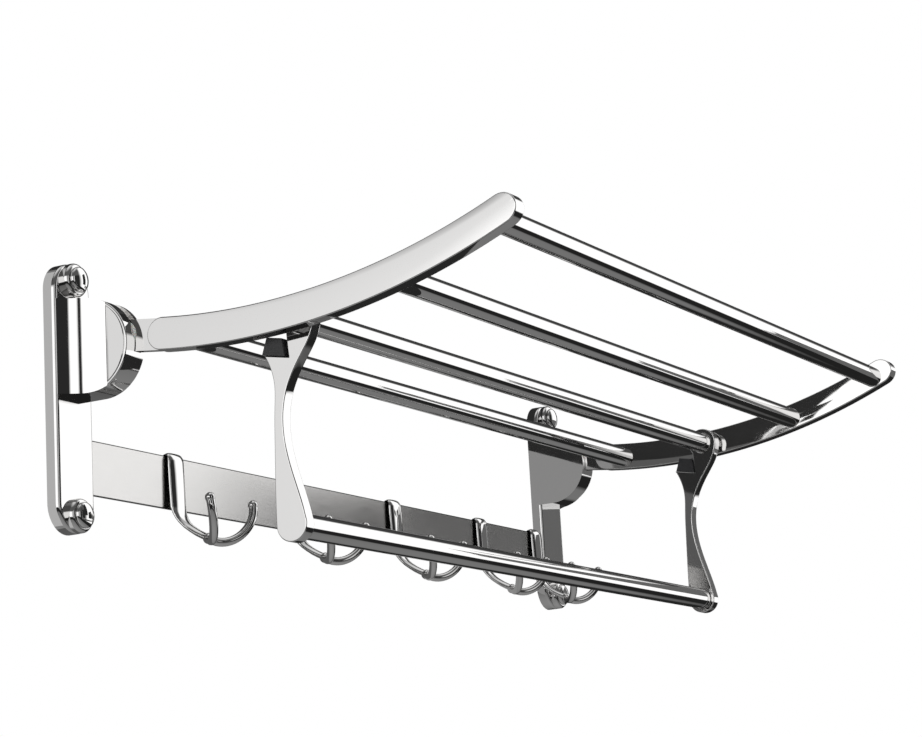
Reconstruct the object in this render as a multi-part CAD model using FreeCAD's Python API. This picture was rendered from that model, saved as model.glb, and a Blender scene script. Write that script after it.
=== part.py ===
import FreeCAD, Part
import math
import os
from FreeCAD import Vector

os.makedirs("parts", exist_ok=True)

# Folding towel rack for a bathroom wall. Millimetres. The wall is the plane Y = 0, the rack stands
# out towards -Y, X runs along the tubes and Z is up. The origin is on the wall, midway between the
# two brackets and midway between their upper and lower wall screws.

# ---------------------------------------------------------------- driving dimensions
overall_width = 610.0        # across the outer edges of the two wall brackets

plate_width = 32.5           # wall bracket: the long plate with round ends
plate_height = 153.6
plate_thick = 8.0
plate_edge_r = 2.2
wall_screw_pitch = 134.0     # upper to lower wall screw
wall_hole_r = 3.0

block_height = 54.5          # hinge block that stands on the plate
block_reach = 45.0           # from the wall to its round front
block_width = 17.0           # at the front, behind which it sweeps out to the plate's edge
block_bottom = 0.0
block_flat_length = 13.9     # straight part of the outer side, from the front
block_edge_r = 0.8
inner_cheek = 3.0            # wall of the block on the inner side of the slot

pivot_y = -37.6
pivot_z = 32.0
tongue_thick = 5.0           # flat knuckle of the arm that turns in the slot
tongue_height = 18.0
tongue_length = 31.0         # from the pivot to its end inside the arm
tongue_shoulder = 25.0       # from the pivot to where it narrows to enter the arm
tongue_root_height = 11.6
washer_thick = 0.5
washer_r = 8.0
pin_r = 2.5
pin_head_r = 3.5
pin_head_thick = 1.7
rivet_r = 1.8                # cross rivet that holds the tongue in the arm
rivet_cover = 1.2            # metal left over the rivet on the outer side

hinge_cap_rim = 1.6          # metal left round the D shaped cover
hinge_cap_recess = 4.0
hinge_cap_wall = 1.2
hinge_cap_proud = 0.5

arm_thick = 9.4              # side arm: a flat bar bent to one long arc
arm_radius = 430.0
arm_low_y = -112.0           # where the arc is lowest
arm_low_z = 26.2
arm_rear_y = -55.0
arm_tip_y = -289.0
arm_rear_height = 18.6
arm_front_height = 16.8
arm_edge_r = 2.4

tube_r = 7.0                 # shelf tubes and towel rail, 14 mm tube
tube_wall = 1.0
tube_places = (-275.0, -211.6, -146.0, -78.6)
tube_drop = 1.0              # the tubes sit this much below the middle of the arm
socket_depth = 5.5
spigot_r = 3.0
spigot_length = 5.0
bush_length = 9.0

hanger_middle = 267.0        # from the middle of the rack to the middle of a hanger
hanger_thick = 8.0
hanger_tube = 2              # index of the shelf tube that carries the hangers
hanger_eye_r = 10.3
rail_y = -136.6
rail_z = -85.3
rail_end_r = 9.6
collar_r = 8.6
lug_height = 9.6             # block between the arm and the rear branch of a hanger
lug_screw_r = 1.5
lug_screw_head_r = 2.6

strip_height = 31.5          # hook strip
strip_thick = 1.6
strip_top = -21.5
strip_front = -4.6
strip_hold = 7.5             # length of each end that lies in the back of a bracket
strip_screw_r = 1.5
strip_screw_head_r = 2.7

hook_places = (-192.0, -66.0, 59.6, 180.0, 263.5)
hook_width = 16.0
hook_thick = 2.7             # of the flat strap in front of the strip
hook_back_thick = 1.2
hook_lip = 1.3               # metal over the top edge of the strip
hook_back_length = 14.0
hook_lean = 1.1              # the strap stands off this much more at the strip's lower edge
hook_joint_y = -28.1         # where the stem divides into two prongs
hook_joint_z = -72.5
hook_joint_r = 3.3
hook_prong_r = 2.6
hook_tip_r = 3.0
hook_tip_x = 21.9
hook_tip_y = -45.2
hook_tip_z = -52.9

cap_base_r = 9.8             # round covers of the wall screws
cap_base_height = 4.6
cap_well_r = 5.8
cap_r = 8.0
cap_height = 3.4
cap_stem = 3.0
cap_wall = 1.1

# ---------------------------------------------------------------- named clearances
fit_gap = 0.05               # radial gap of a shaft in its hole
seat_gap = 0.1               # between faces of pieces that are assembled
stop_gap = 0.2               # between the tongue and the shelf that it rests on
slide_gap = 0.3              # between a hook and the strip
slot_back_gap = 0.6          # behind the round end of the tongue
blind_floor = 0.6            # metal left under a blind hole in the inner cheek

# ---------------------------------------------------------------- places that follow from them
outer_x = overall_width / 2
inner_x = outer_x - plate_width
plate_middle = outer_x - plate_width / 2
screw_z = wall_screw_pitch / 2

block_r = block_height / 2
block_top = block_bottom + block_height
block_outer = inner_x + block_width
slot_inner = inner_x + inner_cheek
slot_outer = slot_inner + tongue_thick + 2 * washer_thick + 2 * seat_gap
tongue_middle = (slot_inner + slot_outer) / 2
tongue_inner = tongue_middle - tongue_thick / 2
slot_back = pivot_y + tongue_height / 2 + slot_back_gap
cap_straight_y = -block_reach + block_flat_length

arm_inner = tongue_middle - arm_thick / 2
arm_outer = arm_inner + arm_thick
arm_centre_z = arm_low_z + arm_radius

hanger_inner = hanger_middle - hanger_thick / 2
hanger_outer = hanger_inner + hanger_thick

strip_bottom = strip_top - strip_height
strip_back = strip_front + strip_thick


# ---------------------------------------------------------------- helpers
def save(shape, node):
    shape.exportStep("parts/" + node + ".step")


def mirrored(shape):
    """The same piece for the left side."""
    return shape.mirror(Vector(0, 0, 0), Vector(1, 0, 0))


def both_sides(shape):
    return Part.makeCompound([shape, mirrored(shape)])


def save_pair(shape, name):
    save(shape, "right_" + name)
    save(mirrored(shape), "left_" + name)


def box(x0, x1, y0, y1, z0, z1):
    return Part.makeBox(x1 - x0, y1 - y0, z1 - z0, Vector(x0, y0, z0))


def cyl_x(radius, x0, x1, y, z):
    return Part.makeCylinder(radius, x1 - x0, Vector(x0, y, z), Vector(1, 0, 0))


def cyl_y(radius, y0, y1, x, z):
    return Part.makeCylinder(radius, y1 - y0, Vector(x, y0, z), Vector(0, 1, 0))


def cyl_z(radius, z0, z1, x, y):
    return Part.makeCylinder(radius, z1 - z0, Vector(x, y, z0), Vector(0, 0, 1))


def line(a, b):
    return Part.LineSegment(a, b).toShape()


def arc(a, b, c):
    return Part.Arc(a, b, c).toShape()


def curve(points):
    spline = Part.BSplineCurve()
    spline.interpolate(points)
    return spline.toShape()


def slab(edges, x0, x1):
    """A plate whose outline lies in a plane of constant X."""
    face = Part.Face(Part.Wire(edges))
    face.translate(Vector(x0, 0, 0))
    return face.extrude(Vector(x1 - x0, 0, 0))


def yz(y, z):
    return Vector(0, y, z)


def arm_line_z(y):
    """Height of the middle line of the arms."""
    return arm_centre_z - math.sqrt(arm_radius ** 2 - (y - arm_low_y) ** 2)


def arm_point(y, offset):
    """A point beside the arms' middle line, measured square to it, upwards positive."""
    z = arm_line_z(y)
    away = Vector(0, arm_low_y - y, arm_centre_z - z)
    away.normalize()
    return yz(y, z) + away * offset


def edges_between(shape, x_low, x_high, y_low, y_high):
    """Edges whose whole box lies between two X values and two Y values."""
    found = []
    for edge in shape.Edges:
        b = edge.BoundBox
        inside_x = b.XMin > x_low and b.XMax < x_high
        inside_y = b.YMin > y_low and b.YMax < y_high
        if inside_x and inside_y:
            found.append(edge)
    return found


# ---------------------------------------------------------------- wall brackets
def bracket_plate():
    straight = plate_height / 2 - plate_width / 2
    radius = plate_width / 2
    plate = box(inner_x, outer_x, -plate_thick, 0, -straight, straight)
    for z in (-straight, straight):
        plate = plate.fuse(cyl_y(radius, -plate_thick, 0, plate_middle, z))
    plate = plate.removeSplitter()
    tiny = 0.01
    front = edges_between(plate, inner_x - 1, outer_x + 1, -plate_thick - tiny, -plate_thick + tiny)
    return plate.makeFillet(plate_edge_r, front)


def block_side_outline(rim, y_back):
    """D shape seen from the side, with a margin of rim all round its curved front."""
    radius = block_r - rim
    y_mid = -block_reach + block_r
    z_mid = block_bottom + block_r
    z_low = z_mid - radius
    z_high = z_mid + radius
    if y_back > y_mid:
        start = yz(y_mid, z_low)
        end = yz(y_mid, z_high)
        front = arc(start, yz(y_mid - radius, z_mid), end)
        back_low = yz(y_back, z_low)
        back_high = yz(y_back, z_high)
        return [line(back_low, start), front, line(end, back_high), line(back_high, back_low)]
    half = math.sqrt(radius ** 2 - (y_back - y_mid) ** 2)
    start = yz(y_back, z_mid - half)
    end = yz(y_back, z_mid + half)
    return [arc(start, yz(y_mid - radius, z_mid), end), line(end, start)]


def block_plan():
    """The block seen from above: straight inside, sweeping out to the plate's edge outside."""
    z = block_bottom
    root_y = -plate_thick / 2
    edge_x = outer_x - plate_edge_r / 2
    flat_y = cap_straight_y
    middle = Vector(block_outer + 0.3 * (edge_x - block_outer), 0.52 * flat_y - 0.48 * plate_thick, z)
    corners = [
        Vector(edge_x, -plate_thick, z),
        Vector(edge_x, root_y, z),
        Vector(inner_x, root_y, z),
        Vector(inner_x, -block_reach, z),
        Vector(block_outer, -block_reach, z),
        Vector(block_outer, flat_y, z),
    ]
    edges = [line(corners[i], corners[i + 1]) for i in range(len(corners) - 1)]
    edges.append(arc(corners[-1], middle, corners[0]))
    return Part.Face(Part.Wire(edges)).extrude(Vector(0, 0, block_height))


def bracket():
    block = block_plan().common(slab(block_side_outline(0, 0), inner_x, outer_x))
    front = edges_between(block, inner_x - 1, block_outer + 1, -block_reach - 1, cap_straight_y + 1)
    curved = [e for e in front if abs(e.BoundBox.XMax - e.BoundBox.XMin) < 0.01]
    block = block.makeFillet(block_edge_r, [e for e in curved if e.Length > block_r / 2])
    solid = bracket_plate().fuse(block)
    solid = solid.cut(hinge_slot())
    recess_y = cap_straight_y
    recess = slab(block_side_outline(hinge_cap_rim, recess_y), block_outer - hinge_cap_recess, block_outer + 1)
    solid = solid.cut(recess)
    pin_hole = cyl_x(pin_r + fit_gap, inner_x + blind_floor, block_outer, pivot_y, pivot_z)
    solid = solid.cut(pin_hole)
    for z in (-screw_z, screw_z):
        solid = solid.cut(cyl_y(wall_hole_r, -plate_thick - 1, 1, plate_middle, z))
    seat = box(
        inner_x - 1, inner_x + strip_hold + slide_gap, strip_front, 1,
        strip_bottom - slide_gap, strip_top + slide_gap,
    )
    solid = solid.cut(seat)
    for x, z in strip_screw_places():
        solid = solid.cut(cyl_y(strip_screw_r + fit_gap, strip_front - 2.4, 1, x, z))
    return solid


def hinge_slot():
    """Slot for the tongue: open in front and on top, with a sloping floor that stops the fold."""
    front = -block_reach - 5
    above = box(slot_inner, slot_outer, front, slot_back, pivot_z, block_top + 5)
    floor_z = pivot_z - tongue_height / 2 - stop_gap
    rest = box(slot_inner, slot_outer, front - 10, slot_back, floor_z, pivot_z + tongue_height / 2)
    return above.fuse(along_tongue(rest))


def strip_screw_places():
    x = inner_x + strip_hold / 2 + 0.5
    reach = strip_height / 2 - 7.0
    middle = (strip_top + strip_bottom) / 2
    return [(x, middle - reach), (x, middle + reach)]


# ---------------------------------------------------------------- hinge
def hinge_pin():
    shank = cyl_x(pin_r, inner_x + blind_floor + seat_gap, block_outer - hinge_cap_recess, pivot_y, pivot_z)
    head_x = block_outer - hinge_cap_recess
    head = cyl_x(pin_head_r, head_x, head_x + pin_head_thick, pivot_y, pivot_z)
    return shank.fuse(head).removeSplitter()


def hinge_washers():
    inner = slot_inner + seat_gap / 2
    outer = slot_outer - seat_gap / 2 - washer_thick
    rings = []
    for x in (inner, outer):
        ring = cyl_x(washer_r, x, x + washer_thick, pivot_y, pivot_z)
        rings.append(ring.cut(cyl_x(pin_r + fit_gap, x - 1, x + washer_thick + 1, pivot_y, pivot_z)))
    return Part.makeCompound(rings)


def hinge_cap():
    rim = hinge_cap_rim + seat_gap
    top = block_outer + hinge_cap_proud
    floor = block_outer - hinge_cap_recess
    back = cap_straight_y - seat_gap
    shell = slab(block_side_outline(rim, back), floor, top)
    top_edges = edges_between(shell, top - 0.01, top + 0.01, -block_reach, 0)
    shell = shell.makeFillet(hinge_cap_proud, top_edges)
    hollow = slab(
        block_side_outline(rim + hinge_cap_wall, back - hinge_cap_wall / 2),
        floor - 1, floor + pin_head_thick + seat_gap,
    )
    return shell.cut(hollow)


def tongue_tilt():
    """Slope of the tongue, in degrees: from the pivot down to the rear end of the arm."""
    y = arm_rear_y - arm_rear_height / 2
    return math.degrees(math.atan2(pivot_z - arm_line_z(y), pivot_y - y))


def along_tongue(shape):
    """Turn a shape that was drawn level, so that it follows the tongue."""
    turned = shape.copy()
    turned.rotate(Vector(0, pivot_y, pivot_z), Vector(1, 0, 0), tongue_tilt())
    return turned


def tongue_bars(gap):
    """The two straight lengths of the tongue, swollen by a gap to cut their pocket."""
    inner = tongue_inner - gap
    outer = tongue_inner + tongue_thick + gap
    half = tongue_height / 2 + gap
    root = tongue_root_height / 2 + gap
    y_step = pivot_y - tongue_shoulder - gap
    y_end = pivot_y - tongue_length - gap
    wide = box(inner, outer, y_step, pivot_y, pivot_z - half, pivot_z + half)
    narrow = box(inner, outer, y_end, pivot_y, pivot_z - root, pivot_z + root)
    return along_tongue(wide.fuse(narrow))


def tongue_rivet_place():
    reach = (tongue_shoulder + tongue_length) / 2
    tilt = math.radians(tongue_tilt())
    return pivot_y - reach * math.cos(tilt), pivot_z - reach * math.sin(tilt)


def hinge_tongue():
    """Knuckle with a round end at the pivot and a narrower root that enters the arm."""
    outer = tongue_inner + tongue_thick
    tongue = cyl_x(tongue_height / 2, tongue_inner, outer, pivot_y, pivot_z)
    tongue = tongue.fuse(tongue_bars(0)).removeSplitter()
    tongue = tongue.cut(cyl_x(pin_r + fit_gap, tongue_inner - 1, outer + 1, pivot_y, pivot_z))
    y, z = tongue_rivet_place()
    return tongue.cut(cyl_x(rivet_r + fit_gap, tongue_inner - 1, outer + 1, y, z))


# ---------------------------------------------------------------- side arms
def arm_blank():
    rear_half = arm_rear_height / 2
    front_half = arm_front_height / 2
    y_rear = arm_rear_y - rear_half
    y_front = arm_tip_y + front_half * 0.9
    y_mid = (y_rear + y_front) / 2
    mid_half = (rear_half + front_half) / 2
    rear_low = arm_point(y_rear, -rear_half)
    rear_top = arm_point(y_rear, rear_half)
    front_low = arm_point(y_front, -front_half)
    front_top = arm_point(y_front, front_half)
    outline = [
        arc(rear_low, arm_point(y_mid, -mid_half), front_low),
        arc(front_low, arm_point(arm_tip_y, 0), front_top),
        arc(front_top, arm_point(y_mid, mid_half), rear_top),
        arc(rear_top, arm_point(arm_rear_y, 0), rear_low),
    ]
    blank = slab(outline, arm_inner, arm_outer)
    rims = [e for e in blank.Edges if e.BoundBox.XMax - e.BoundBox.XMin < 0.01]
    return blank.makeFillet(arm_edge_r, rims)


def tube_place(index):
    y = tube_places[index]
    return y, arm_line_z(y) - tube_drop


def arm():
    solid = arm_blank().cut(tongue_bars(seat_gap))
    for index in range(len(tube_places)):
        y, z = tube_place(index)
        socket = cyl_x(tube_r + fit_gap, arm_inner - 1, arm_inner + socket_depth, y, z)
        spigot = cyl_x(spigot_r, arm_inner + socket_depth - spigot_length, arm_inner + socket_depth + 1, y, z)
        solid = solid.cut(socket).fuse(spigot)
    y, z = tongue_rivet_place()
    solid = solid.cut(cyl_x(rivet_r + fit_gap, arm_inner - 1, arm_outer - rivet_cover, y, z))
    return solid


def tongue_rivet():
    y, z = tongue_rivet_place()
    return cyl_x(rivet_r, arm_inner + seat_gap, arm_outer - rivet_cover - seat_gap, y, z)


# ---------------------------------------------------------------- shelf tubes
def tube(half_length, y, z):
    outside = cyl_x(tube_r, -half_length, half_length, y, z)
    return outside.cut(cyl_x(tube_r - tube_wall, -half_length - 1, half_length + 1, y, z))


def tube_bush(end_x, y, z):
    """Nylon bush in the end of a tube, on the arm's spigot."""
    start = end_x - bush_length
    body = cyl_x(tube_r - tube_wall - seat_gap / 2, start, end_x, y, z)
    return body.cut(cyl_x(spigot_r + fit_gap, start - 1, end_x + 1, y, z))


# ---------------------------------------------------------------- hangers and lower rail
hanger_y, hanger_z = tube_place(hanger_tube)
stub_rear = yz(hanger_y + 22.6, hanger_z - 17.8)
stub_front = yz(hanger_y + 7.1, hanger_z - 20.7)


def hanger_outline():
    """Y shape: the front branch rises to the eye, the rear one ends in a flat stub."""
    eye_front = yz(hanger_y - hanger_eye_r + 0.3, hanger_z - 2.2)
    eye_rear = yz(hanger_y + hanger_eye_r - 2.2, hanger_z - 5.6)
    foot_front = yz(rail_y - rail_end_r, rail_z)
    foot_rear = yz(rail_y + rail_end_r, rail_z)
    front = curve([
        foot_front,
        yz(rail_y - 7.0, rail_z + 11.5),
        yz(rail_y - 3.0, rail_z + 24.5),
        yz(rail_y + 1.4, rail_z + 41.0),
        yz(rail_y + 2.7, rail_z + 60.5),
        yz(hanger_y + 8.7, hanger_z - 37.0),
        yz(hanger_y + 0.5, hanger_z - 22.5),
        yz(hanger_y - 6.3, hanger_z - 12.5),
        eye_front,
    ])
    rear = curve([
        stub_rear,
        yz(hanger_y + 19.2, hanger_z - 24.8),
        yz(hanger_y + 17.0, hanger_z - 34.5),
        yz(rail_y + 8.1, rail_z + 63.0),
        yz(rail_y + 8.8, rail_z + 45.0),
        yz(rail_y + 9.4, rail_z + 25.0),
        foot_rear,
    ])
    return [front, line(eye_front, eye_rear), line(eye_rear, stub_front), line(stub_front, stub_rear),
            rear, line(foot_rear, foot_front)]


def hanger():
    blade = slab(hanger_outline(), hanger_inner, hanger_outer)
    eye = cyl_x(hanger_eye_r, hanger_inner, hanger_outer, hanger_y, hanger_z)
    foot = cyl_x(rail_end_r, hanger_inner, hanger_outer, rail_y, rail_z)
    solid = blade.fuse(eye).fuse(foot).removeSplitter()
    solid = solid.cut(cyl_x(tube_r + fit_gap, hanger_inner - 1, hanger_outer + 1, hanger_y, hanger_z))
    floor_x = hanger_inner + socket_depth
    solid = solid.cut(cyl_x(tube_r + fit_gap, hanger_inner - 1, floor_x, rail_y, rail_z))
    solid = solid.fuse(cyl_x(spigot_r, floor_x - spigot_length, floor_x + 1, rail_y, rail_z))
    y = lug_screw_y()
    return solid.cut(cyl_z(lug_screw_r + fit_gap, stub_front.z - 13.0, stub_rear.z + 5.0, hanger_middle, y))


def lug_screw_y():
    return (stub_front.y + stub_rear.y) / 2


def lug_head_seat():
    return stub_rear.z + lug_height - 3.6


def hanger_lug():
    """Dark block on the inner face of the arm, standing on the rear branch of the hanger."""
    slope = stub_rear - stub_front
    slope.normalize()
    square = Vector(0, -slope.z, slope.y)
    rear = stub_rear - slope * 0.6 + square * seat_gap
    front = stub_front + slope * 0.9 + square * seat_gap
    top_rear = rear + square * lug_height - slope * 1.5
    top_front = front + square * lug_height + slope * 3.0
    edges = [line(front, rear), line(rear, top_rear), line(top_rear, top_front), line(top_front, front)]
    block = slab(edges, hanger_inner + 0.6, arm_inner - seat_gap)
    y = lug_screw_y()
    top = stub_rear.z + 20.0
    block = block.cut(cyl_z(lug_screw_r + fit_gap, stub_front.z - 5.0, top, hanger_middle, y))
    return block.cut(cyl_z(lug_screw_head_r + fit_gap, lug_head_seat(), top, hanger_middle, y))


def lug_screw():
    y = lug_screw_y()
    shank = cyl_z(lug_screw_r, stub_front.z - 11.0, lug_head_seat(), hanger_middle, y)
    head = cyl_z(lug_screw_head_r, lug_head_seat(), lug_head_seat() + 2.0, hanger_middle, y)
    return shank.fuse(head).removeSplitter()


def hanger_collar():
    """Spacer on the tube between the eye of the hanger and the arm."""
    collar = cyl_x(collar_r, hanger_outer + seat_gap, arm_inner - seat_gap, hanger_y, hanger_z)
    return collar.cut(cyl_x(tube_r + fit_gap, hanger_outer, arm_inner, hanger_y, hanger_z))


# ---------------------------------------------------------------- hook strip and hooks
def hook_strip():
    half = inner_x + strip_hold
    strip = box(-half, half, strip_front, strip_back, strip_bottom, strip_top)
    corners = [e for e in strip.Edges if e.Length < strip_thick + 0.01]
    strip = strip.makeFillet(1.5, corners)
    for x, z in strip_screw_places():
        for side in (-1, 1):
            strip = strip.cut(cyl_y(strip_screw_r + fit_gap, strip_front - 1, strip_back + 1, side * x, z))
    return strip


def strip_screws():
    screws = []
    for x, z in strip_screw_places():
        for side in (-1, 1):
            shank = cyl_y(strip_screw_r, strip_front - 2.2, strip_back, side * x, z)
            head = cyl_y(strip_screw_head_r, strip_back, strip_back + 1.6, side * x, z)
            screws.append(shank.fuse(head).removeSplitter())
    return Part.makeCompound(screws)


def hook_side_profile():
    """The hook seen from the side: a lip over the strip, the leaning strap and the curved stem."""
    body_y = strip_front - slide_gap
    front_y = body_y - hook_thick
    back_y = strip_back + slide_gap
    rear_y = back_y + hook_back_thick
    seat_z = strip_top + slide_gap
    crown = yz((front_y + rear_y) / 2, seat_z + hook_lip)
    shoulder = seat_z - 0.4
    low_z = strip_bottom + 1.0
    leg_z = seat_z - hook_back_length
    upper = curve([
        yz(hook_joint_y, hook_joint_z + 2.4),
        yz(hook_joint_y + 10.7, hook_joint_z + 9.6),
        yz(front_y - hook_lean - 2.6, low_z - 6.0),
        yz(front_y - hook_lean, low_z),
    ])
    lower = curve([
        yz(body_y - hook_lean, low_z),
        yz(body_y - hook_lean - 2.1, low_z - 7.0),
        yz(hook_joint_y + 10.7, hook_joint_z + 5.5),
        yz(hook_joint_y, hook_joint_z - 2.9),
    ])
    return [
        line(yz(front_y - hook_lean, low_z), yz(front_y, shoulder)),
        arc(yz(front_y, shoulder), crown, yz(rear_y, shoulder)),
        line(yz(rear_y, shoulder), yz(rear_y, leg_z)),
        line(yz(rear_y, leg_z), yz(back_y, leg_z)),
        line(yz(back_y, leg_z), yz(back_y, seat_z)),
        line(yz(back_y, seat_z), yz(body_y, seat_z)),
        line(yz(body_y, seat_z), yz(body_y - hook_lean, low_z)),
        lower,
        line(yz(hook_joint_y, hook_joint_z - 2.9), yz(hook_joint_y, hook_joint_z + 2.4)),
        upper,
    ]


def hook_front_outline():
    """The hook seen from the front: parallel at the strip, drawn in towards the joint."""
    half = hook_width / 2
    corner = 2.4
    top_z = strip_top + slide_gap + hook_lip + 0.2
    waist_z = strip_bottom - 3.0
    low_z = hook_joint_z - hook_joint_r
    points = [
        (-half, top_z - corner), (-half + corner, top_z), (half - corner, top_z), (half, top_z - corner),
        (half, waist_z), (hook_joint_r, low_z), (-hook_joint_r, low_z), (-half, waist_z),
    ]
    corners = [Vector(x, 5, z) for x, z in points]
    edges = [line(corners[i], corners[(i + 1) % len(corners)]) for i in range(len(corners))]
    return Part.Face(Part.Wire(edges)).extrude(Vector(0, -80, 0))


def hook_prong(side):
    poles = [
        Vector(0, hook_joint_y, hook_joint_z),
        Vector(side * hook_tip_x * 0.34, hook_joint_y - 9.8, hook_joint_z - 8.3),
        Vector(side * hook_tip_x * 0.98, hook_tip_y - 2.7, hook_tip_z - 13.9),
        Vector(side * hook_tip_x, hook_tip_y, hook_tip_z),
    ]
    path = Part.BezierCurve()
    path.setPoles(poles)
    edge = path.toShape()
    ring = Part.Circle(poles[0], edge.tangentAt(edge.FirstParameter), hook_prong_r)
    pipe = Part.Wire([edge]).makePipe(Part.Face(Part.Wire([ring.toShape()])))
    return pipe.fuse(Part.makeSphere(hook_tip_r, poles[3]))


def hook_at_middle():
    body = slab(hook_side_profile(), -hook_width / 2, hook_width / 2).common(hook_front_outline())
    solid = body.fuse(hook_prong(1)).fuse(hook_prong(-1))
    solid = solid.fuse(Part.makeSphere(hook_joint_r, Vector(0, hook_joint_y, hook_joint_z)))
    return solid.removeSplitter()


# ---------------------------------------------------------------- covers of the wall screws
def cap_base(z):
    """Domed ring on the plate round the head of a wall screw."""
    front = -plate_thick - cap_base_height
    body = cyl_y(cap_base_r, front, -plate_thick, plate_middle, z)
    rim = [e for e in body.Edges if e.BoundBox.YMax < front + 0.01]
    body = body.makeFillet(cap_base_r - cap_well_r - 1.2, rim)
    return body.cut(cyl_y(cap_well_r, front - 1, -plate_thick + 1, plate_middle, z))


def screw_cap(z):
    """Button that closes the ring, with a hollow stem that grips inside it."""
    rear = -plate_thick - cap_base_height - seat_gap
    front = rear - cap_height
    disc = cyl_y(cap_r, front, rear, plate_middle, z)
    disc = disc.makeFillet(1.4, [e for e in disc.Edges if e.BoundBox.YMax < front + 0.01])
    stem = cyl_y(cap_well_r - fit_gap, rear, rear + cap_stem, plate_middle, z)
    hollow = cyl_y(cap_well_r - cap_wall, rear - 1.0, rear + cap_stem + 1, plate_middle, z)
    return disc.fuse(stem).cut(hollow).removeSplitter()


# ---------------------------------------------------------------- write every piece
save_pair(bracket(), "bracket")
save_pair(hinge_pin(), "hinge_pin")
save_pair(hinge_washers(), "hinge_washers")
save_pair(hinge_cap(), "hinge_cap")
save_pair(hinge_tongue(), "hinge_tongue")
save_pair(tongue_rivet(), "tongue_rivet")
save_pair(arm(), "arm")
save_pair(hanger(), "hanger")
save_pair(hanger_lug(), "hanger_lug")
save_pair(lug_screw(), "lug_screw")
save_pair(hanger_collar(), "hanger_collar")

tube_half = arm_inner + socket_depth - seat_gap
for number in range(len(tube_places)):
    tube_y, tube_z = tube_place(number)
    save(tube(tube_half, tube_y, tube_z), "shelf_tube_" + str(number + 1))
    save(both_sides(tube_bush(tube_half, tube_y, tube_z)), "tube_bushes_" + str(number + 1))

rail_half = hanger_inner + socket_depth - seat_gap
save(tube(rail_half, rail_y, rail_z), "towel_rail")
save(both_sides(tube_bush(rail_half, rail_y, rail_z)), "rail_bushes")

save(hook_strip(), "hook_strip")
save(strip_screws(), "strip_screws")

hook = hook_at_middle()
for number, place in enumerate(hook_places):
    placed = hook.copy()
    placed.translate(Vector(place, 0, 0))
    save(placed, "hook_" + str(number + 1))

for level, height in (("upper", screw_z), ("lower", -screw_z)):
    save_pair(cap_base(height), level + "_cap_base")
    save_pair(screw_cap(height), level + "_screw_cap")
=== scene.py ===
import math

import bmesh
import bpy
from mathutils import Matrix, Vector


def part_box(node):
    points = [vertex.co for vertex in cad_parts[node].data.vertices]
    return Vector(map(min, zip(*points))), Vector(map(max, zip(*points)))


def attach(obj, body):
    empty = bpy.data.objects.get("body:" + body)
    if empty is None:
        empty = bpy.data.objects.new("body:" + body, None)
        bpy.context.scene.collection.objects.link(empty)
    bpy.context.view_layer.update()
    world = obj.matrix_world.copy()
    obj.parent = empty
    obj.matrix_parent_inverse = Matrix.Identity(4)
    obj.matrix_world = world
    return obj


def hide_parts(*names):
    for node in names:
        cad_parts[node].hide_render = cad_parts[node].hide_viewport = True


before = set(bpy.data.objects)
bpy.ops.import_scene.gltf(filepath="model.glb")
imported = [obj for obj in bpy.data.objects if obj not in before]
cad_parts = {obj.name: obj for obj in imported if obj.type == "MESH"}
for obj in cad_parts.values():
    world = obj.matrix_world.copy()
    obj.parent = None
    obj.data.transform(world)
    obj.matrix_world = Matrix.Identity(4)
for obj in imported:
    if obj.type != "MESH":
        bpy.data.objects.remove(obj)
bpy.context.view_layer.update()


# ---------------------------------------------------------------- camera
# A long lens looks at the rack from its left, from in front and from below, about 1.7 m away. It is
# shifted a little, so that the rack sits in the middle of the frame.
camera_place = Vector((-1.41379, -0.87325, -0.29105))
camera_right = Vector((0.484098, -0.873089, -0.058006))
camera_down = Vector((0.165284, 0.156340, -0.973776))
camera_forward = Vector((0.859261, 0.461816, 0.219992))

camera_data = bpy.data.cameras.new("camera")
camera_data.sensor_width = 36.0    # millimetres, as is the lens
camera_data.lens = 99.946
camera_data.shift_x = -0.02301
camera_data.shift_y = -0.04190
camera_data.clip_start = 0.05
camera_data.clip_end = 50.0
camera = bpy.data.objects.new("camera", camera_data)
bpy.context.scene.collection.objects.link(camera)
turn = Matrix((camera_right, -camera_down, -camera_forward)).transposed()
camera.matrix_world = Matrix.Translation(camera_place) @ turn.to_4x4()
bpy.context.scene.camera = camera
bpy.context.scene.view_settings.view_transform = "Standard"


# ---------------------------------------------------------------- studio
# A white background and a ring of white boxes and black flags, as round any polished metal, which
# are seen only in the metal. A pale matt floor lies well below the rack.
floor_z = -0.62
floor_half = 3.0
white = (1.0, 1.0, 1.0, 1.0)
black = (0.0, 0.0, 0.0, 1.0)
right_angle = math.radians(90.0)


def ramp(tree, stops):
    """A grey colour ramp from (position, brightness) pairs."""
    node = tree.nodes.new("ShaderNodeValToRGB")
    elements = node.color_ramp.elements
    while len(elements) < len(stops):
        elements.new(0.5)
    for element, (position, value) in zip(elements, stops):
        element.position = position
        element.color = (value, value, value, 1.0)
    return node


def round_the_horizon(tree, bearing, stops):
    """Brightness by compass bearing in degrees, 0 along +X and 90 along +Y."""
    node = ramp(tree, [(degrees / 360.0 + 0.5, value) for degrees, value in stops])
    tree.links.new(bearing, node.inputs[0])
    return node.outputs[0]


def up_the_sky(tree, height, stops):
    """Brightness by height above the horizon, in degrees."""
    sines = [(math.sin(math.radians(degrees)), value) for degrees, value in stops]
    node = ramp(tree, [(0.5 + 0.5 * sine, value) for sine, value in sines])
    tree.links.new(height, node.inputs[0])
    return node.outputs[0]


def math_node(tree, operation, *values):
    """A Math node whose inputs are sockets or numbers."""
    node = tree.nodes.new("ShaderNodeMath")
    node.operation = operation
    for socket, value in zip(node.inputs, values):
        if hasattr(value, "is_output"):
            tree.links.new(value, socket)
        else:
            socket.default_value = value
    return node.outputs[0]


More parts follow.
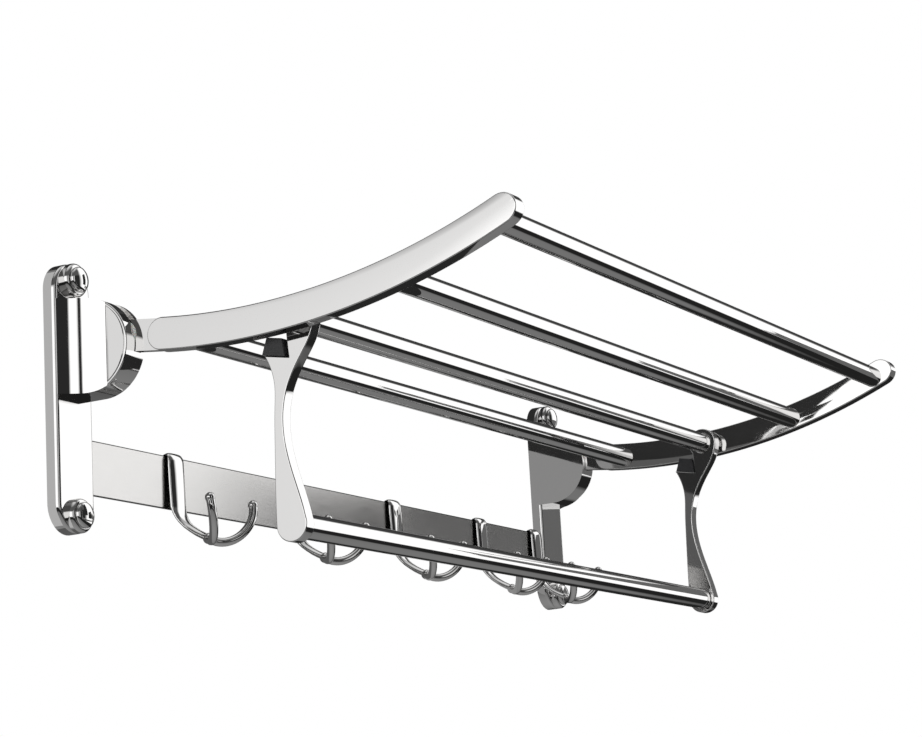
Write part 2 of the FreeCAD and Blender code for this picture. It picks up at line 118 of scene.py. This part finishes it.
def mix_colour(tree, factor, a, b):
    """Blends from a to b, which are sockets or colours."""
    node = tree.nodes.new("ShaderNodeMix")
    node.data_type = "RGBA"
    tree.links.new(factor, node.inputs[0])
    for socket, value in ((node.inputs[6], a), (node.inputs[7], b)):
        if hasattr(value, "is_output"):
            tree.links.new(value, socket)
        else:
            socket.default_value = value
    return node.outputs[2]


world = bpy.data.worlds.new("studio")
world.use_nodes = True
bpy.context.scene.world = world
air = world.node_tree
air.nodes.clear()
split = air.nodes.new("ShaderNodeSeparateXYZ")
air.links.new(air.nodes.new("ShaderNodeTexCoord").outputs["Generated"], split.inputs[0])
turn_of = math_node(air, "ARCTAN2", split.outputs[1], split.outputs[0])
bearing = math_node(air, "MULTIPLY_ADD", turn_of, 1.0 / (2.0 * math.pi), 0.5)
height = math_node(air, "MULTIPLY_ADD", split.outputs[2], 0.5, 0.5)
boxes = round_the_horizon(air, bearing, [
    (-180, 1.6), (-154, 1.6), (-152, 0.03), (-149, 0.03), (-147, 1.5), (-136, 1.5), (-134, 0.03),
    (-118, 0.03), (-114, 0.9), (-104, 0.9), (-98, 0.03), (-58, 0.03), (-46, 1.5), (-14, 1.5),
    (-8, 0.05), (64, 0.05), (100, 0.12), (126, 0.4), (141, 0.95), (152, 1.1), (158, 1.6), (180, 1.6),
])
upper = round_the_horizon(air, bearing, [
    (-180, 0.12), (-60, 0.12), (-48, 1.5), (-14, 1.5), (-6, 0.06), (60, 0.06), (120, 0.2), (180, 0.12),
])
# the boxes stand up to 19 degrees, the upper band to 48, and the ground starts 8 degrees down
overhead = up_the_sky(air, height, [(0, 0.5), (62, 0.5), (90, 1.0)])
ground = up_the_sky(air, height, [(-90, 0.34), (-26, 0.22), (-23, 0.02), (-7, 0.02)])
light = mix_colour(air, up_the_sky(air, height, [(19, 0.0), (25, 1.0)]), boxes, upper)
light = mix_colour(air, up_the_sky(air, height, [(48, 0.0), (62, 1.0)]), light, overhead)
light = mix_colour(air, up_the_sky(air, height, [(-10, 1.0), (-8, 0.0)]), light, ground)
seen = air.nodes.new("ShaderNodeLightPath").outputs["Is Camera Ray"]
light = mix_colour(air, seen, light, white)
background = air.nodes.new("ShaderNodeBackground")
air.links.new(light, background.inputs["Color"])
air.links.new(background.outputs[0], air.nodes.new("ShaderNodeOutputWorld").inputs[0])

lamp_data = bpy.data.lights.new("ceiling_softbox", "AREA")
lamp_data.shape = "DISK"
lamp_data.size = 2.4
lamp_data.energy = 60.0
lamp = bpy.data.objects.new("ceiling_softbox", lamp_data)
lamp.location = (-0.3, -0.8, 2.2)
lamp.visible_camera = False
lamp.visible_glossy = False
bpy.context.scene.collection.objects.link(lamp)


def new_object(name, bm, material, smooth_angle=35.0):
    """Turns a finished bmesh into an object whose faces are smooth between its sharp edges."""
    mesh = bpy.data.meshes.new(name)
    for edge in bm.edges:
        if len(edge.link_faces) == 2 and edge.calc_face_angle(0.0) > math.radians(smooth_angle):
            edge.smooth = False
    for face in bm.faces:
        face.smooth = True
    bm.to_mesh(mesh)
    bm.free()
    mesh.materials.append(material)
    made = bpy.data.objects.new(name, mesh)
    bpy.context.scene.collection.objects.link(made)
    return made


def new_material(name):
    """An empty node material with its shader and its output."""
    material = bpy.data.materials.new(name)
    material.use_nodes = True
    tree = material.node_tree
    tree.nodes.clear()
    shader = tree.nodes.new("ShaderNodeBsdfPrincipled")
    tree.links.new(shader.outputs[0], tree.nodes.new("ShaderNodeOutputMaterial").inputs[0])
    return material, tree, shader


def noise(tree, scale, stretch=(1.0, 1.0, 1.0), detail=3.0, roughness=0.5):
    """Noise on object coordinates, stretched along the axes; metres, so scales are per metre."""
    coordinates = tree.nodes.new("ShaderNodeTexCoord")
    mapping = tree.nodes.new("ShaderNodeMapping")
    mapping.inputs["Scale"].default_value = stretch
    texture = tree.nodes.new("ShaderNodeTexNoise")
    texture.inputs["Scale"].default_value = scale
    texture.inputs["Detail"].default_value = detail
    texture.inputs["Roughness"].default_value = roughness
    tree.links.new(coordinates.outputs["Object"], mapping.inputs["Vector"])
    tree.links.new(mapping.outputs[0], texture.inputs["Vector"])
    return texture.outputs[0]


def map_range(tree, value, low, high, out_low, out_high):
    """Takes low to high over to out_low to out_high and stops there."""
    node = tree.nodes.new("ShaderNodeMapRange")
    tree.links.new(value, node.inputs[0])
    for socket, number in zip(node.inputs[1:5], (low, high, out_low, out_high)):
        socket.default_value = number
    return node.outputs[0]


def bump(tree, shader, value, strength, distance):
    """Raises the surface by a value, at most by the distance in metres."""
    node = tree.nodes.new("ShaderNodeBump")
    node.inputs["Strength"].default_value = strength
    node.inputs["Distance"].default_value = distance
    tree.links.new(value, node.inputs["Height"])
    tree.links.new(node.outputs[0], shader.inputs["Normal"])


floor_paint, tree, shader = new_material("studio_floor")
speckle = noise(tree, 9.0)
tree.links.new(map_range(tree, speckle, 0.3, 0.7, 0.72, 0.8), shader.inputs["Roughness"])
shader.inputs["Base Color"].default_value = (0.80, 0.80, 0.79, 1.0)
ground_sheet = bmesh.new()
bmesh.ops.create_grid(ground_sheet, x_segments=1, y_segments=1, size=floor_half)
bmesh.ops.translate(ground_sheet, vec=(0.0, 0.0, floor_z), verts=ground_sheet.verts)
studio_floor = new_object("studio_floor", ground_sheet, floor_paint)
studio_floor.visible_glossy = False


def flag(name, brightness, low, high):
    """A card between two corners that share one coordinate, seen only as a reflection."""
    paper, tree, shader = new_material(name)
    shader.inputs["Base Color"].default_value = black
    shader.inputs["Roughness"].default_value = 1.0
    shader.inputs["Emission Color"].default_value = white
    shader.inputs["Emission Strength"].default_value = brightness
    low, high = Vector(low), Vector(high)
    card = bmesh.new()
    bmesh.ops.create_grid(card, x_segments=1, y_segments=1, size=0.5)
    about = "X" if high.y == low.y else "Y"
    bmesh.ops.rotate(card, matrix=Matrix.Rotation(right_angle, 3, about), verts=card.verts)
    bmesh.ops.scale(card, vec=[max(side, 1.0e-6) for side in high - low], verts=card.verts)
    bmesh.ops.translate(card, vec=(low + high) / 2, verts=card.verts)
    made = new_object(name, card, paper)
    made.visible_camera = False
    made.visible_diffuse = False
    made.visible_shadow = False


flag("flag_behind_shelf", 0.02, (-0.29, 0.02, 0.05), (0.80, 0.02, 0.34))
flag("flag_by_left_plate", 0.60, (-0.347, 0.02, -0.13), (-0.300, 0.02, 0.16))
flag("flag_behind_left_arm", 0.02, (-0.46, 0.02, 0.115), (-0.29, 0.02, 0.17))
flag("flag_above_left_arm", 0.02, (-0.40, 0.02, 0.17), (-0.29, 0.02, 0.34))
flag("flag_under_left_arm_front", 0.02, (-0.245, -0.30, -0.06), (-0.245, -0.165, 0.024))
flag("flag_under_left_arm_rear", 0.02, (-0.245, -0.10, -0.06), (-0.245, -0.06, 0.012))
flag("flag_by_left_upper_cover", 0.02, (-0.245, -0.054, 0.066), (-0.245, -0.0365, 0.092))
flag("flag_by_left_lower_cover", 0.02, (-0.245, -0.054, -0.068), (-0.245, -0.0365, -0.053))
flag("flag_by_right_block", 0.33, (0.09, 0.02, -0.14), (0.236, 0.02, 0.05))
flag("flag_behind_strip", 0.12, (-0.29, 0.02, -0.14), (0.09, 0.02, 0.05))
flag("flag_beyond_strip", 0.16, (0.60, -0.52, -0.03), (0.60, -0.10, 0.10))


# ---------------------------------------------------------------- wall brackets
# Two long plates with round ends, each with a hinge block standing on its upper half. They are cast
# in one piece, ground and polished, and chromium plated to a mirror.
chrome, tree, shader = new_material("polished_chrome")
shader.inputs["Base Color"].default_value = (0.685, 0.68, 0.675, 1.0)
shader.inputs["Metallic"].default_value = 1.0
haze = noise(tree, 55.0, detail=4.0)
tree.links.new(map_range(tree, haze, 0.35, 0.7, 0.02, 0.06), shader.inputs["Roughness"])
bump(tree, shader, noise(tree, 38.0, detail=2.0), 0.05, 0.0006)


def paint(material, *names):
    """Gives carried over nodes their finish."""
    for name in names:
        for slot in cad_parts[name].material_slots:
            slot.material = material


paint(chrome, "left_bracket", "right_bracket")


# ---------------------------------------------------------------- hinges
# A flat knuckle turns on a steel pin between two nylon washers in each block. A D shaped cover is
# pressed in over the head of the pin.
zinc, tree, shader = new_material("zinc_plated_steel")
shader.inputs["Base Color"].default_value = (0.56, 0.57, 0.59, 1.0)
shader.inputs["Metallic"].default_value = 1.0
tree.links.new(map_range(tree, noise(tree, 900.0), 0.3, 0.7, 0.24, 0.42), shader.inputs["Roughness"])
bump(tree, shader, noise(tree, 2400.0), 0.15, 0.0001)

nylon, tree, shader = new_material("nylon")
shader.inputs["Base Color"].default_value = (0.70, 0.69, 0.66, 1.0)
shader.inputs["Subsurface Weight"].default_value = 0.15
shader.inputs["Subsurface Scale"].default_value = 0.002
tree.links.new(map_range(tree, noise(tree, 700.0), 0.3, 0.7, 0.36, 0.5), shader.inputs["Roughness"])


def finished(piece, material_slot, body, *nodes):
    """A new piece: its slot, which is not used, the body that it rides on and the nodes that it stands
    for.
    """
    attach(piece, body)
    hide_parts(*nodes)
    return piece


def weigh_normals(piece):
    """Keeps the flat faces flat beside their rounded edges."""
    modifier = piece.modifiers.new("flat_faces", "WEIGHTED_NORMAL")
    modifier.keep_sharp = True
    modifier.weight = 80
    return piece


def whole(bm):
    """Everything in a bmesh, as its operators take it."""
    return bm.verts[:] + bm.edges[:] + bm.faces[:]


def new_verts(result):
    """The vertices that an extrusion made."""
    return [v for v in result["geom"] if isinstance(v, bmesh.types.BMVert)]


def round_over(bm, geom, radius, segments, affect="EDGES"):
    """Rounds edges, or the corners of a flat outline, over to a radius."""
    bmesh.ops.bevel(
        bm, geom=geom, offset=radius, segments=segments, affect=affect, profile=0.5, material=-1,
        clamp_overlap=True,
    )


cover_gap = 0.00045          # between the straight side of the cover and its recess
cover_rim = 0.0017           # metal of the block round the cover
cover_edge_r = 0.0007
cover_back_r = 0.0015        # of the straight side's edge
cover_length = 0.0139
block_reach = 0.045          # from the wall to the round front of the block
block_r = 0.02725
same_place = 1.0e-6          # vertices closer than this share a place


def hinge_cover(side, sign):
    """A flat D with its rim rounded over."""
    low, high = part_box(side + "_hinge_cap")
    bm = bmesh.new()
    bmesh.ops.create_circle(bm, cap_ends=True, segments=96, radius=block_r - cover_rim)
    straight = block_r - cover_length + cover_gap
    bmesh.ops.bisect_plane(
        bm, geom=whole(bm), plane_co=(0.0, straight, 0.0), plane_no=(0.0, -1.0, 0.0), clear_outer=True,
    )
    top = new_verts(bmesh.ops.extrude_face_region(bm, geom=bm.faces[:]))
    bmesh.ops.translate(bm, vec=(0.0, 0.0, high.x - low.x), verts=top)
    rim = [e for e in bm.edges if all(v in top for v in e.verts)]
    back = [e for e in rim if all(abs(v.co.y - straight) < same_place for v in e.verts)]
    for edges, radius in ((back, cover_back_r), ([e for e in rim if e not in back], cover_edge_r)):
        round_over(bm, [e for e in edges if e.is_valid], radius, 4)
    # drawn flat: its X becomes Z, its Y becomes -Y, its thickness points outwards
    stand = Matrix(((0.0, 0.0, sign), (0.0, -1.0, 0.0), (1.0, 0.0, 0.0))).to_4x4()
    bmesh.ops.transform(bm, matrix=stand, verts=bm.verts)
    start = low.x if sign > 0 else high.x
    bmesh.ops.translate(bm, vec=(start, block_r - block_reach, block_r), verts=bm.verts)
    bmesh.ops.recalc_face_normals(bm, faces=bm.faces)
    return weigh_normals(new_object(side + "_hinge_cover", bm, chrome))


for side, sign in (("left", -1.0), ("right", 1.0)):
    finished(hinge_cover(side, sign), "satin_steel", "wall_frame", side + "_hinge_cap")
    paint(zinc, side + "_hinge_pin", side + "_tongue_rivet")
    paint(nylon, side + "_hinge_washers")
    paint(chrome, side + "_hinge_tongue")


# ---------------------------------------------------------------- side arms
# Two flat bars with half round ends and rounded edges, a little lower towards the front. They are
# bent to one long arc, polished and chromium plated, and each is riveted to its knuckle.
arm_radius = 0.430
arm_low_y = -0.112
arm_low_z = 0.0262
arm_rear_y = -0.055
arm_tip_y = -0.289
arm_rear_height = 0.0186
arm_front_height = 0.0168
arm_edge_r = 0.0031
arm_end_share = 0.499        # of the height, which makes the ends half round
arm_crown = 0.00035          # by which the middle of the two broad faces stands proud
arm_cuts = 64                # along the bar, so that it can bend
crown_lines = (-0.006, -0.004, -0.002, 0.0, 0.002, 0.004, 0.006)


def arm_bar(side):
    """A straight bar with round ends, its edges rounded over, then bent up to the arc."""
    low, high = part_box(side + "_arm")
    rear = math.asin((arm_rear_y - arm_low_y) / arm_radius)
    tip = math.asin((arm_tip_y - arm_low_y) / arm_radius)
    length = arm_radius * (rear - tip)
    bm = bmesh.new()
    bmesh.ops.create_grid(bm, x_segments=1, y_segments=1, size=0.5)
    bmesh.ops.scale(bm, vec=(length, arm_rear_height, 1.0), verts=bm.verts)
    round_over(bm, bm.verts[:], arm_rear_height * arm_end_share, 14, affect="VERTICES")
    top = new_verts(bmesh.ops.extrude_face_region(bm, geom=bm.faces[:]))
    thick = high.x - low.x
    bmesh.ops.translate(bm, vec=(0.0, 0.0, thick), verts=top)
    rim = [e for e in bm.edges if len(set(v in top for v in e.verts)) == 1]
    round_over(bm, rim, arm_edge_r, 6)
    for k in range(1, arm_cuts):
        along = (k / arm_cuts - 0.5) * length
        bmesh.ops.bisect_plane(
            bm, geom=whole(bm), plane_co=(along, 0.0, 0.0), plane_no=(1.0, 0.0, 0.0),
        )
    for up in crown_lines:
        bmesh.ops.bisect_plane(bm, geom=whole(bm), plane_co=(0.0, up, 0.0), plane_no=(0.0, 1.0, 0.0))
    for v in bm.verts:
        bulge = max(0.0, 1.0 - (v.co.y / (arm_rear_height / 2)) ** 2) * arm_crown
        if v.co.z < arm_edge_r or v.co.z > thick - arm_edge_r:
            v.co.z += bulge if v.co.z > thick / 2 else -bulge
        share = v.co.x / length + 0.5
        angle = rear + (tip - rear) * share
        up = v.co.y * (1.0 + (arm_front_height / arm_rear_height - 1.0) * share)
        reach = arm_radius - up
        across = low.x + v.co.z
        v.co = (
            across, arm_low_y + reach * math.sin(angle),
            arm_low_z + arm_radius - reach * math.cos(angle),
        )
    bmesh.ops.recalc_face_normals(bm, faces=bm.faces)
    return weigh_normals(new_object(side + "_arm_bar", bm, chrome))


for side in ("left", "right"):
    finished(arm_bar(side), "chrome", "shelf", side + "_arm")


# ---------------------------------------------------------------- shelf tubes
# Four drawn and plated tubes of 14 mm, cut square. A nylon bush in each end of a tube sits on a spigot
# of the arm beside it.
tube_wall = 0.001
tube_ease = 0.0003
tube_steps = 72


def round_tube(name, node):
    """The wall of the tube, drawn as a strip and spun about the tube's own axis."""
    low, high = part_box(node)
    axis = (low + high) / 2
    radius = (high.z - low.z) / 2
    bm = bmesh.new()
    bore = radius - tube_wall
    corners = []
    for x, r in ((low.x, bore), (low.x, radius), (high.x, radius), (high.x, bore)):
        corners.append(bm.verts.new((x, axis.y, axis.z + r)))
    for k, corner in enumerate(corners):
        bm.edges.new((corner, corners[(k + 1) % 4]))
    bmesh.ops.spin(
        bm, geom=bm.verts[:] + bm.edges[:], cent=axis, axis=(1.0, 0.0, 0.0), angle=math.tau,
        steps=tube_steps, use_merge=True,
    )
    ends = [e for e in bm.edges if e.calc_face_angle(0.0) > 1.0]
    round_over(bm, ends, tube_ease, 2)
    bmesh.ops.recalc_face_normals(bm, faces=bm.faces)
    return weigh_normals(new_object(name, bm, chrome))


for number in range(1, 5):
    node = "shelf_tube_" + str(number)
    made = finished(round_tube(node + "_drawn", node), "chrome", "shelf", node)
    made.visible_glossy = False
    paint(nylon, "tube_bushes_" + str(number))


# ---------------------------------------------------------------- hangers and towel rail
# A cast Y shaped hanger at each end carries the lower rail. Its eye goes round the third tube, with a
# collar between it and the arm, and its rear branch is screwed up into a dark plastic lug.
plastic, tree, shader = new_material("dark_plastic")
shader.inputs["Base Color"].default_value = (0.02, 0.02, 0.022, 1.0)
tree.links.new(map_range(tree, noise(tree, 1200.0), 0.3, 0.7, 0.34, 0.5), shader.inputs["Roughness"])


flat_within = math.radians(0.2)
sharp_beyond = math.radians(40.0)


def eased_copy(node, name, radius, segments, material, chosen=None):
    """A copy of a node's mesh, joined up, with its sharp edges rounded over."""
    bm = bmesh.new()
    bm.from_mesh(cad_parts[node].data)
    bmesh.ops.remove_doubles(bm, verts=bm.verts, dist=same_place)
    bmesh.ops.dissolve_limit(
        bm, angle_limit=flat_within, use_dissolve_boundaries=False, verts=bm.verts, edges=bm.edges,
    )
    sharp = [e for e in bm.edges if e.calc_face_angle(0.0) > sharp_beyond]
    if chosen:
        sharp = [e for e in sharp if chosen(e)]
    round_over(bm, sharp, radius, segments)
    return weigh_normals(new_object(name, bm, material))


hanger_edge_r = 0.0012


def is_in_face(edge):
    """True for an edge that lies in one of the hanger's two broad faces."""
    return abs(edge.verts[0].co.x - edge.verts[1].co.x) < same_place


for side in ("left", "right"):
    node = side + "_hanger"
    hanger = eased_copy(node, node + "_casting", hanger_edge_r, 4, chrome, is_in_face)
    finished(hanger, "chrome", "shelf", node)
    paint(chrome, side + "_hanger_collar")
    paint(plastic, side + "_hanger_lug")
    paint(zinc, side + "_lug_screw")
finished(round_tube("towel_rail_drawn", "towel_rail"), "chrome", "shelf", "towel_rail")
paint(nylon, "rail_bushes")


# ---------------------------------------------------------------- hook strip
# A flat strip of brushed stainless steel with sheared edges. A dark line of painted shade runs along
# them, standing in for the dark reflection in their thin chamfers. Its ends lie in pockets in the
# backs of the brackets and are screwed there.
satin_metal = (0.56, 0.553, 0.545, 1.0)
painted_edge_shade_colour = (0.04, 0.04, 0.04, 1.0)
painted_edge_shade_band = 0.0005           # height of the painted dark line of shade along the top and the bottom
painted_edge_shade_fade = 1.3             # the painted shade line fades out this many bands from the edge
strip_edge_r = 0.0006

satin, tree, shader = new_material("satin_steel")
shader.inputs["Metallic"].default_value = 1.0
strip_low, strip_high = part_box("hook_strip")
place = tree.nodes.new("ShaderNodeSeparateXYZ")
tree.links.new(tree.nodes.new("ShaderNodeTexCoord").outputs["Object"], place.inputs[0])
middle_z = (strip_low.z + strip_high.z) / 2
from_middle = math_node(tree, "ABSOLUTE", math_node(tree, "SUBTRACT", place.outputs[2], middle_z), 0.0)
half_height = (strip_high.z - strip_low.z) / 2
painted_shade_fade_from = half_height - painted_edge_shade_band * painted_edge_shade_fade
# painted shade: the colour goes dark near the top and bottom edges, standing in for the dark
# reflection of their chamfers
painted_edge_shade_mask = map_range(tree, from_middle, painted_shade_fade_from, half_height - painted_edge_shade_band, 0.0, 1.0)
strip_colour_with_painted_edge_shade = mix_colour(tree, painted_edge_shade_mask, satin_metal, painted_edge_shade_colour)
tree.links.new(strip_colour_with_painted_edge_shade, shader.inputs["Base Color"])
grain = noise(tree, 60.0, stretch=(1.0, 40.0, 40.0), detail=5.0)
tree.links.new(map_range(tree, grain, 0.3, 0.7, 0.17, 0.23), shader.inputs["Roughness"])
bump(tree, shader, grain, 0.03, 0.00003)

strip = eased_copy("hook_strip", "hook_strip_brushed", strip_edge_r, 2, satin)
finished(strip, "satin_steel", "wall_frame", "hook_strip")
paint(zinc, "strip_screws")


# ---------------------------------------------------------------- hooks
# Five cast double hooks that hang on the strip and slide along it. The strap is crowned in front, goes
# over the strip's upper edge and down behind it, and its stem divides into two prongs with ball tips.
prong_r = 0.0026
tip_r = 0.0030
joint_r = 0.0033
joint = Vector((0.0, -0.0281, -0.0725))
tip = Vector((0.0219, -0.0452, -0.0529))
strap_back = 0.5             # the strap is this much flatter behind than in front
ring_points = 28
prong_steps = 24
# the poles that draw a prong: the first from the joint, the second from the tip, and the share of
# the tip's X that each has
first_pole = Vector((0.34, -0.0098, -0.0083))
second_pole = Vector((0.98, -0.0027, -0.0139))

# (y, z, width, thickness) of the strap's middle line, from the foot of the back leg to the joint
strap_line = [
    (-0.00210, -0.0350, 0.0154, 0.0012), (-0.00210, -0.0300, 0.0156, 0.0012),
    (-0.00210, -0.0235, 0.0156, 0.0012), (-0.00235, -0.0214, 0.0150, 0.0014),
    (-0.00320, -0.0206, 0.0142, 0.0018), (-0.00440, -0.0203, 0.0138, 0.0024),
    (-0.00560, -0.0209, 0.0142, 0.0032), (-0.00630, -0.0224, 0.0150, 0.0040),
    (-0.00650, -0.0244, 0.0154, 0.0044), (-0.00670, -0.0320, 0.0154, 0.0046),
    (-0.00700, -0.0420, 0.0152, 0.0046), (-0.00740, -0.0520, 0.0148, 0.0046),
    (-0.00820, -0.0555, 0.0140, 0.0046), (-0.00960, -0.0586, 0.0126, 0.0047),
    (-0.01160, -0.0615, 0.0110, 0.0048), (-0.01430, -0.0643, 0.0096, 0.0050),
    (-0.01740, -0.0667, 0.0084, 0.0052), (-0.02090, -0.0691, 0.0074, 0.0054),
    (-0.02450, -0.0711, 0.0066, 0.0055), (-0.02810, -0.0727, 0.0060, 0.0056),
]


def ring_at(bm, place, along, width, thickness, flat_back):
    """A crowned cross section set square to the direction of a sweep."""
    made = bmesh.ops.create_circle(bm, cap_ends=False, segments=ring_points, radius=1.0)["verts"]
    across = Vector((1.0, 0.0, 0.0))
    if abs(along.normalized().dot(across)) > 0.9:    # a prong runs along X where it leaves the joint
        across = Vector((0.0, 1.0, 0.0))
    outward = along.cross(across).normalized()
    across = outward.cross(along).normalized()
    for v in made:
        x, y = v.co.x, v.co.y
        if y < 0.0:
            y *= flat_back
        v.co = place + across * (x * width / 2) + outward * (y * thickness / 2)
    return made


def sweep(bm, stations, flat_back=1.0):
    """Skins a row of (place, width, thickness) with rings and closes both ends."""
    rings = []
    for k, (place, width, thickness) in enumerate(stations):
        before = stations[max(k - 1, 0)][0]
        after = stations[min(k + 1, len(stations) - 1)][0]
        rings.append(ring_at(bm, place, (after - before).normalized(), width, thickness, flat_back))
    loops = [list({e for v in ring for e in v.link_edges}) for ring in rings]
    for first, second in zip(loops, loops[1:]):
        bmesh.ops.bridge_loops(bm, edges=first + second)
    for loop in (loops[0], loops[-1]):
        bmesh.ops.holes_fill(bm, edges=loop, sides=0)


def bezier(poles, t):
    """A point on the cubic curve through the outer two of its four poles."""
    a, b, c, d = poles
    s = 1.0 - t
    return a * s ** 3 + b * 3 * s * s * t + c * 3 * s * t * t + d * t ** 3


def ball_at(bm, place, radius):
    """A ball that rounds off a prong or the joint."""
    made = bmesh.ops.create_uvsphere(bm, u_segments=24, v_segments=16, radius=radius)["verts"]
    bmesh.ops.translate(bm, vec=place, verts=made)


def double_hook(name, place_x):
    """The strap, its two prongs with their balls, and the knot where they meet."""
    bm = bmesh.new()
    sweep(bm, [(Vector((0.0, y, z)), w, t) for y, z, w, t in strap_line], flat_back=strap_back)
    for sign in (-1.0, 1.0):
        end = Vector((sign * tip.x, tip.y, tip.z))
        poles = [
            joint,
            Vector((first_pole.x * end.x, joint.y + first_pole.y, joint.z + first_pole.z)),
            Vector((second_pole.x * end.x, end.y + second_pole.y, end.z + second_pole.z)),
            end,
        ]
        places = [bezier(poles, k / prong_steps) for k in range(prong_steps + 1)]
        sweep(bm, [(place, 2 * prong_r, 2 * prong_r) for place in places])
        ball_at(bm, end, tip_r)
    ball_at(bm, joint, joint_r)
    bmesh.ops.translate(bm, vec=(place_x, 0.0, 0.0), verts=bm.verts)
    bmesh.ops.recalc_face_normals(bm, faces=bm.faces)
    return new_object(name, bm, chrome, smooth_angle=50.0)


for number in range(1, 6):
    node = "hook_" + str(number)
    low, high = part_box(node)
    finished(double_hook(node + "_casting", (low.x + high.x) / 2), "chrome", node, node)


# ---------------------------------------------------------------- screw covers
# A turned ring round each wall screw, closed by a push-in button with a domed face. Both are polished
# and chromium plated, and the stem of the button grips the bore of the ring.
ring_r = 0.0098
ring_bore_r = 0.0058
ring_edge_r = 0.0026
button_r = 0.0074
button_rise = 0.0026         # from the edge of the dome to its top
button_skirt = 0.0008
stem_depth = 0.003
stem_play = 0.0001           # between the stem and the bore
button_lift = 0.0001         # between the button and the ring
facing_wall = Matrix.Rotation(right_angle, 4, "X")


def loop_in(bm, verts):
    """The edges that have both their ends among some vertices."""
    return [e for e in bm.edges if all(v in verts for v in e.verts)]


def open_edges(bm):
    return [e for e in bm.edges if e.is_boundary]


def cover_ring(name, low, high):
    """A tube whose front outer edge is rounded over."""
    x, z = (low.x + high.x) / 2, (low.z + high.z) / 2
    bm = bmesh.new()
    bmesh.ops.create_circle(bm, cap_ends=False, segments=64, radius=ring_r)
    bmesh.ops.transform(bm, matrix=facing_wall, verts=bm.verts)
    bmesh.ops.translate(bm, vec=(x, high.y, z), verts=bm.verts)
    front = new_verts(bmesh.ops.extrude_edge_only(bm, edges=bm.edges[:]))
    bmesh.ops.translate(bm, vec=(0.0, low.y - high.y, 0.0), verts=front)
    inner = new_verts(bmesh.ops.extrude_edge_only(bm, edges=loop_in(bm, front)))
    inward = ring_bore_r / ring_r
    to_axis = Matrix.Translation((-x, 0.0, -z))
    bmesh.ops.scale(bm, vec=(inward, 1.0, inward), space=to_axis, verts=inner)
    deep = new_verts(bmesh.ops.extrude_edge_only(bm, edges=loop_in(bm, inner)))
    bmesh.ops.translate(bm, vec=(0.0, high.y - low.y, 0.0), verts=deep)
    bmesh.ops.bridge_loops(bm, edges=open_edges(bm))
    round_over(bm, loop_in(bm, front), ring_edge_r, 8)
    bmesh.ops.recalc_face_normals(bm, faces=bm.faces)
    return weigh_normals(new_object(name, bm, chrome))


def cover_button(name, low, high, seat_y):
    """The front half of a flattened ball with a short straight skirt, which goes into the ring."""
    x, z = (low.x + high.x) / 2, (low.z + high.z) / 2
    bm = bmesh.new()
    bmesh.ops.create_uvsphere(bm, u_segments=56, v_segments=32, radius=1.0)
    bmesh.ops.transform(bm, matrix=facing_wall, verts=bm.verts)
    bmesh.ops.scale(bm, vec=(button_r, button_rise, button_r), verts=bm.verts)
    bmesh.ops.bisect_plane(
        bm, geom=whole(bm), plane_co=(0.0, 0.0, 0.0), plane_no=(0.0, 1.0, 0.0), clear_outer=True,
    )
    foot = new_verts(bmesh.ops.extrude_edge_only(bm, edges=open_edges(bm)))
    bmesh.ops.translate(bm, vec=(0.0, button_skirt, 0.0), verts=foot)
    bmesh.ops.holes_fill(bm, edges=open_edges(bm), sides=0)
    stem = [f for f in bm.faces if all(v in foot for v in f.verts)]
    margin = button_r - ring_bore_r + stem_play
    bmesh.ops.inset_region(bm, faces=stem, thickness=margin, use_even_offset=True)
    deep = new_verts(bmesh.ops.extrude_face_region(bm, geom=stem))
    bmesh.ops.translate(bm, vec=(0.0, stem_depth, 0.0), verts=deep)
    bmesh.ops.translate(bm, vec=(x, seat_y - button_skirt, z), verts=bm.verts)
    bmesh.ops.recalc_face_normals(bm, faces=bm.faces)
    return new_object(name, bm, chrome)


for side in ("left", "right"):
    for level in ("upper", "lower"):
        node = side + "_" + level
        base_low, base_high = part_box(node + "_cap_base")
        ring = cover_ring(node + "_cover_ring", base_low, base_high)
        finished(ring, "chrome", "wall_frame", node + "_cap_base")
        cap_low, cap_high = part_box(node + "_screw_cap")
        button = cover_button(node + "_cover_button", cap_low, cap_high, base_low.y - button_lift)
        finished(button, "chrome", "wall_frame", node + "_screw_cap")
